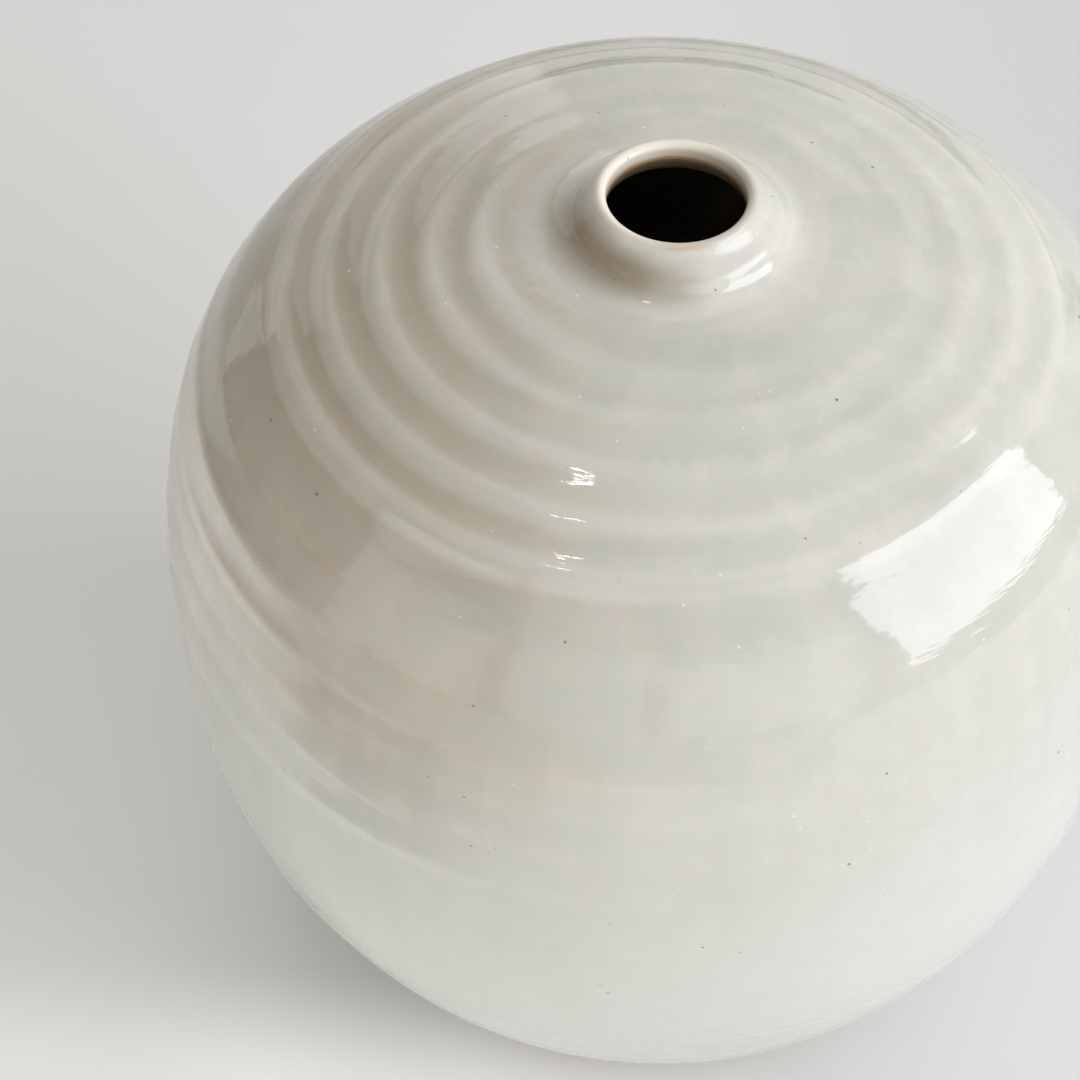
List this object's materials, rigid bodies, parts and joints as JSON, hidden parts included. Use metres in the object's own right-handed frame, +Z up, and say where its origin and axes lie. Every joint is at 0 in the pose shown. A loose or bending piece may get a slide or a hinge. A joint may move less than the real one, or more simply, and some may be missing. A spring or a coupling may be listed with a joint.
{
  "type": "stoneware vase",
  "caption": "Round closed stoneware vase with a very small rolled mouth, throwing rings on the shoulder and a glossy off-white glaze.",
  "frame": {"origin": "centre of the foot ring's resting face, on the table", "axes": "+Z up along the throwing axis, X and Y level; the vase is a body of revolution about Z"},
  "size_m": [0.2802, 0.2802, 0.2771],
  "materials": {
    "stoneware_clay": "matte, unglazed fired stoneware, pale buff",
    "joint_slip": "matte fired slip",
    "white_glaze": "glossy, semi-translucent off-white, greyer where it pools",
    "liner_glaze": "satin brown-grey glaze"
  },
  "bodies": {
    "root": {"foot_ring": "stoneware_clay", "foot_slip": "joint_slip", "base_bowl": "stoneware_clay", "seam_slip": "joint_slip", "body_dome": "stoneware_clay", "neck_slip": "joint_slip", "neck_collar": "stoneware_clay", "outer_glaze": "white_glaze", "liner_glaze": "liner_glaze"}
  },
  "joints": []
}
